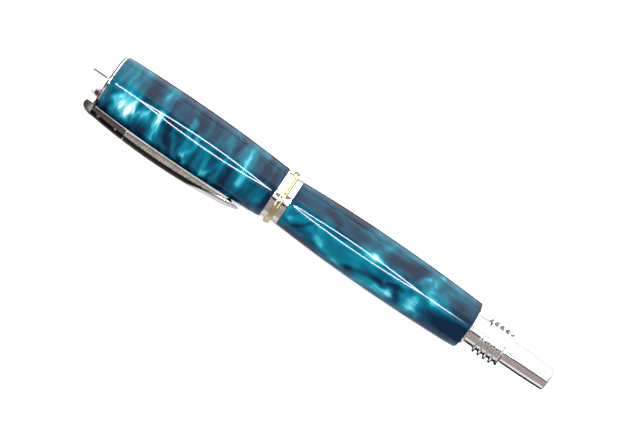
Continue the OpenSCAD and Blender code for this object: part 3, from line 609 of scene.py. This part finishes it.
# Grip with a waist, and the ring at its end
n = 40
grip = [(-8.35, 3.75), (-8.35, 4.55, 0.1)]
grip += [(-8.6 - 18.65 * t / n, 4.7 - 0.75 * math.sin(math.radians(150 * t / n))) for t in range(n + 1)]
grip += [(-27.25, 3.3), (-13.55, 3.3), (-13.55, 3.75)]
piece(turned("grip", grip), "section", "black", black, "section_grip")
piece(turned("grip_end_ring", [(-27.75, 3.3), (-27.75, 4.35, 0.16), (-27.25, 4.35, 0.16), (-27.25, 3.3)]), "section",
      "chrome", chrome, "section_lip_ring")

# Nib: two halves of curved sheet with slit and breather hole
TIP, SHOULDER, BREATHER, TAIL = -46.75, -29.45, -35.45, -19.0
SHOULDER_HALF, TAIL_HALF, POINT_HALF = 2.68, 2.2, 0.3
HOLE_R, SLIT_HALF = 0.55, 0.05
NIB_R, NIB_SHEET = 2.75, 0.25


def nib_half(x):
    """Half of the nib's width at a station."""
    if x > SHOULDER:
        t = min(1.0, (x - SHOULDER) / (TAIL - SHOULDER))
        return SHOULDER_HALF + (TAIL_HALF - SHOULDER_HALF) * t
    t = (SHOULDER - x) / (SHOULDER - TIP)
    return POINT_HALF + (SHOULDER_HALF - POINT_HALF) * (1 - t) ** 1.35


def nib_inner(x):
    """Half of the gap between the nib's halves: the breather hole, and the slit before it."""
    d = abs(x - BREATHER)
    hole = math.sqrt(max(0.0, HOLE_R ** 2 - d ** 2))
    return max(hole, SLIT_HALF if x < BREATHER else 0.0)


bm = bmesh.new()
stations = sorted({TIP + (TAIL - TIP) * i / 60 for i in range(61)} |
                  {BREATHER + HOLE_R * math.cos(math.pi * i / 14) for i in range(15)})
for sign in (-1, 1):
    grid = []
    for x in stations:
        a0 = math.asin(min(1, nib_inner(x) / NIB_R))
        a1 = math.asin(min(0.995, nib_half(x) / NIB_R))
        row = []
        for k in range(13):
            a = math.pi / 2 + sign * (a0 + (a1 - a0) * k / 12)
            row.append(bm.verts.new(at(x, NIB_R - 0.01, radial(a))))
        grid.append(row)
    for g0, g1 in zip(grid, grid[1:]):
        for k in range(12):
            quad = [g0[k], g0[k + 1], g1[k + 1], g1[k]]
            bm.faces.new(quad if sign > 0 else quad[::-1])
bmesh.ops.remove_doubles(bm, verts=bm.verts, dist=1e-6)
nib_mesh = finish_mesh("nib_sheet", bm)
thick = nib_mesh.modifiers.new("thickness", "SOLIDIFY")
thick.thickness = NIB_SHEET * MM
thick.offset = -1
piece(nib_mesh, "section", "nib_gold", nib_gold, "nib")

# Converter screw, fluted knob and ink tube
bm = bmesh.new()
thread(bm, 12.2, 33.05, 0.7, 0.92, 1, 2.5, 40, 0.3, 0.15)
revolve(bm, [(12.2, 0.0), (12.2, 0.7)], 40, False)
revolve(bm, [(33.05, 0.7), (33.05, 0.92), (39.0, 0.92), (39.0, 0.0)], 40, False)
piece(finish_mesh("piston_screw", bm), "knob", "steel", steel, "converter_screw")

bm = bmesh.new()
flutes, per = 18, 10
GROOVE = 0.17
# Station, radius, and whether the row is grooved
rows = [(33.05, 0.93, 0), (33.05, 3.1, 0), (33.17, 3.38, 0), (33.45, 3.5, 0), (35.1, 3.5, 0), (35.5, 3.5, 1),
        (43.4, 3.5, 1), (43.8, 3.5, 0), (45.45, 3.5, 0), (45.73, 3.38, 0), (45.85, 3.1, 0), (45.85, 0.0, 0)]
rings = []
for s, r, deep in rows:
    ring = []
    for i in range(flutes * per if r > 0 else 1):
        groove = GROOVE * max(0.0, math.cos(2 * math.pi * i / per)) ** 2 if deep else 0.0
        ring.append(bm.verts.new(at(s, r - groove, radial(2 * math.pi * i / (flutes * per)))))
    rings.append(ring)
for r0, r1 in zip(rings, rings[1:]):
    for i in range(len(r0)):
        quad = list(dict.fromkeys([r0[i], r0[(i + 1) % len(r0)], r1[(i + 1) % len(r1)], r1[i % len(r1)]]))
        bm.faces.new(quad)
revolve(bm, [(33.05, 0.93), (39.0, 0.93), (39.0, 0.0)], flutes * per, False)
piece(finish_mesh("turning_knob", bm), "knob", "matte_black", matte_black, "converter_knob")
ink_tube = [(-12.4, 1.35), (-12.4, 3.15, 0.2), (28, 3.15), (28, 2.55), (-10, 2.55, 0.2), (-10, 1.35)]
piece(turned("ink_tube", ink_tube, 96), "section", "clear", clear, "converter_tube")

# Tail: flange, neck and posting thread, washer, rod
bm = bmesh.new()
revolve(bm, filleted([(50.4, 1.8), (50.4, 3.0, 0.1), (55.6, 3.0), (55.6, 5.2), (55.85, 5.2), (55.85, 5.75, 0.05),
                      (56.1, 4.85, 0.1), (56.6, 4.85, 0.15), (56.6, 3.93, 0.05), (59.55, 3.93), (59.55, 4.05)]),
        128, False)
thread(bm, 59.55, 66.5, 4.05, 4.95, 2, 1.65, 120, 0.7, 0.08)
revolve(bm, [(66.5, 4.05), (66.5, 1.8), (61.0, 1.8)], 120, False)
piece(finish_mesh("posting_screw", bm), "barrel", "chrome", chrome, "posting_stub")
piece(turned("stub_washer", [(66.5, 1.8), (66.5, 4.55, 0.1), (66.9, 4.55, 0.1), (66.9, 1.8)]), "barrel", "chrome",
      chrome, "tail_washer")
piece(turned("rod", [(61.3, 0.0), (61.3, 1.8, 0.1), (66.9, 1.8), (66.9, 3.3, 0.08), (72.9, 3.3), (79.65, 3.1, 0.1),
                     (80.0, 2.78, 0.1), (80.0, 1.9, 0.08), (79.88, 1.75, 0.05), (79.88, 0.0)]), "barrel", "chrome",
      chrome, "tail_rod")

# CAD nodes that stay: every one gets a material of its slot
node_looks = {"chrome": chrome, "gold": gold, "resin": resin_cap, "brass": brass, "black": black,
              "matte_black": matte_black, "clear": clear, "liner": liner, "nib_gold": nib_gold, "steel": steel}
slot_of = {s["node"]: s["material_slot"] for s in frame["record"]["subparts"]}
for node_name, obj in frame["nodes"].items():
    look = node_looks[slot_of[node_name]]
    if obj.data.materials:
        for i in range(len(obj.data.materials)):
            obj.data.materials[i] = look
    else:
        obj.data.materials.append(look)

# ---------------------------------------------------------------- floor
FLOOR_HALF, FLOOR_DROP = 4.0, 0.00002
bm = bmesh.new()
bmesh.ops.create_grid(bm, x_segments=2, y_segments=2, size=FLOOR_HALF)
floor_mesh = bpy.data.meshes.new("floor")
bm.to_mesh(floor_mesh)
bm.free()
floor = bpy.data.objects.new("floor", floor_mesh)
bpy.context.scene.collection.objects.link(floor)
floor.location = (0, 0, cad_low.z - FLOOR_DROP)
# White to the camera. Mirrors see it grey near the pen, brown-grey beyond that, black under the tail as a painted
# shadow, and white past the cap's end.
k = Look("floor_paper")
path = k.node("LightPath").outputs
spot = k.node("SeparateXYZ", {0: k.node("TexCoord").outputs["Object"]}).outputs
ahead = k.math("SUBTRACT", AXIS_Y / MM, k.math("MULTIPLY", spot[1], 1 / MM))
below = k.math("MULTIPLY", k.remap(ahead, 12.0, 10.0), k.remap(ahead, -16.0, -13.0))
# Painted shadow: the floor under the tail turns black to mirrors, standing in for the pen's shade there
painted_shadow_under_tail = k.math("MULTIPLY", k.math("MULTIPLY", k.remap(spot[0], 0.044, 0.048), k.remap(ahead, 7.0, 4.0)),
                    k.remap(ahead, -40.0, -30.0))
mirrored = k.mix(below, (0.2, 0.165, 0.15), (0.5, 0.5, 0.5))
mirrored = k.mix(painted_shadow_under_tail, mirrored, (0.01, 0.01, 0.01))
seen_dark = k.math("MULTIPLY", path["Is Glossy Ray"], k.remap(spot[0], -0.069, -0.066))
k.set(Base_Color=k.mix(seen_dark, (0.9, 0.9, 0.9), mirrored), Roughness=1.0, Specular_IOR_Level=0.0,
      Emission_Color=(1.0, 1.0, 1.0, 1.0), Emission_Strength=k.math("MULTIPLY", path["Is Camera Ray"], 0.55))
floor.data.materials.append(k.material)

# ---------------------------------------------------------------- studio
world = bpy.data.worlds.new("studio")
bpy.context.scene.world = world
world.use_nodes = True


class Studio(Look):
    """The world's nodes, which have no material of their own."""

    def __init__(self, tree):
        self.tree = tree


w = Studio(world.node_tree)
direction = w.node("TexCoord").outputs["Generated"]
dx, dy, dz = w.node("SeparateXYZ", {0: direction}).outputs
# Angle round the pen: 0 at the horizon on the camera's side, 90 overhead, 180 at the far horizon
turn = w.math("MULTIPLY", w.math("ARCTAN2", dz, w.math("MULTIPLY", dy, -1.0)), 180 / math.pi)
share = w.math("DIVIDE", turn, 180.0, clamp=True)


def stop(angle, r, g, b):
    return (angle / 180.0, (r, g, b))


tent = w.ramp(share, [stop(0, 0.42, 0.35, 0.32), stop(180, 1.6, 1.6, 1.62), stop(13, 0.46, 0.39, 0.36),
                      stop(15, 0.02, 0.02, 0.02), stop(23, 0.02, 0.02, 0.02), stop(25, 1.05, 1.05, 1.05),
                      stop(64, 1.08, 1.08, 1.08), stop(68, 3.0, 3.0, 3.05), stop(138.5, 3.0, 3.0, 3.05),
                      stop(139.5, 0.2, 0.2, 0.2), stop(143, 0.2, 0.2, 0.2), stop(144, 2.2, 2.2, 2.25)])
# White wall beyond the clip's end of the pen and a grey one beyond its tail
tent = w.mix(w.remap(dx, -0.17, -0.22), tent, (1.7, 1.7, 1.72))
tent = w.mix(w.remap(dx, 0.45, 0.6), tent, (0.3, 0.28, 0.27))
# Thin dark gap beside the opening, mirrored as the finial's line
slot = w.math("MULTIPLY", w.math("MULTIPLY", w.remap(dx, -0.16, -0.18), w.remap(dx, -0.7, -0.55)),
              w.remap(w.math("ABSOLUTE", w.math("SUBTRACT", turn, CAMERA_TURN)), 6.2, 5.0))
tent = w.mix(slot, tent, (0.22, 0.19, 0.17))
# Lens-shaped opening that the camera looks through, with a thin bright rim and a hood towards the cap
OPENING_X, OPENING_HALF_LEN, OPENING_HALF_TURN = 0.012, 0.125, 12.2
RIM_LIGHT = (62.0, 62.0, 64.0)
across = w.math("DIVIDE", w.math("SUBTRACT", dx, OPENING_X), OPENING_HALF_LEN)
up = w.math("DIVIDE", w.math("SUBTRACT", turn, CAMERA_TURN), OPENING_HALF_TURN)
arc = w.math("SUBTRACT", 1.0, w.math("MULTIPLY", across, across), clamp=True)
edge = w.math("SUBTRACT", w.math("ABSOLUTE", up), arc)
inside = w.remap(edge, 0.0, -0.12)
hood = w.math("MULTIPLY", w.math("MULTIPLY", w.remap(turn, 66.0, 64.0), w.remap(turn, 28.0, 30.0)),
              w.math("MULTIPLY", w.remap(dx, -0.15, -0.13), w.remap(dx, 0.0, -0.012)))
tent = w.mix(w.math("MAXIMUM", inside, hood), tent, (0.27, 0.235, 0.21))
reach = w.remap(w.math("ABSOLUTE", across), 1.6, 1.25)
rim = w.math("MULTIPLY", w.remap(w.math("ABSOLUTE", edge), 0.22, 0.1), reach)
tent = w.mix(rim, tent, RIM_LIGHT)
background = world.node_tree.nodes["Background"]
w.feed(background.inputs["Color"], tent)
background.inputs["Strength"].default_value = 1.0
bpy.context.scene.view_settings.view_transform = "Standard"

# ---------------------------------------------------------------- camera
DISTANCE, FRAME_WIDTH, SENSOR = 0.59, 0.1596, 36
EYE_X, TARGET_X, TARGET_RISE = -22.0 * MM, -1.74 * MM, 2.1 * MM
before_pen = AXIS + Vector((EYE_X - ZERO_X, 0, 0))
eye = before_pen + radial(ELEVATION) * DISTANCE
upper = Vector((0, math.sin(ELEVATION), math.cos(ELEVATION)))
target = Vector((TARGET_X, AXIS_Y, AXIS_Z)) + upper * TARGET_RISE
back = (eye - target).normalized()
along_pen = (Vector((1, 0, 0)) - back * back.x).normalized()
across_pen = back.cross(along_pen)
ROLL = math.radians(34.45)  # the pen lies aslant in the picture
right = along_pen * math.cos(ROLL) + across_pen * math.sin(ROLL)
upward = across_pen * math.cos(ROLL) - along_pen * math.sin(ROLL)
camera_data = bpy.data.cameras.new("camera")
camera = bpy.data.objects.new("camera", camera_data)
bpy.context.scene.collection.objects.link(camera)
camera.matrix_world = Matrix((
    (right.x, upward.x, back.x, eye.x), (right.y, upward.y, back.y, eye.y), (right.z, upward.z, back.z, eye.z),
    (0, 0, 0, 1)))
camera_data.sensor_width = SENSOR
camera_data.lens = SENSOR * (eye - target).length / FRAME_WIDTH
camera_data.clip_start, camera_data.clip_end = 0.01, 20
bpy.context.scene.camera = camera
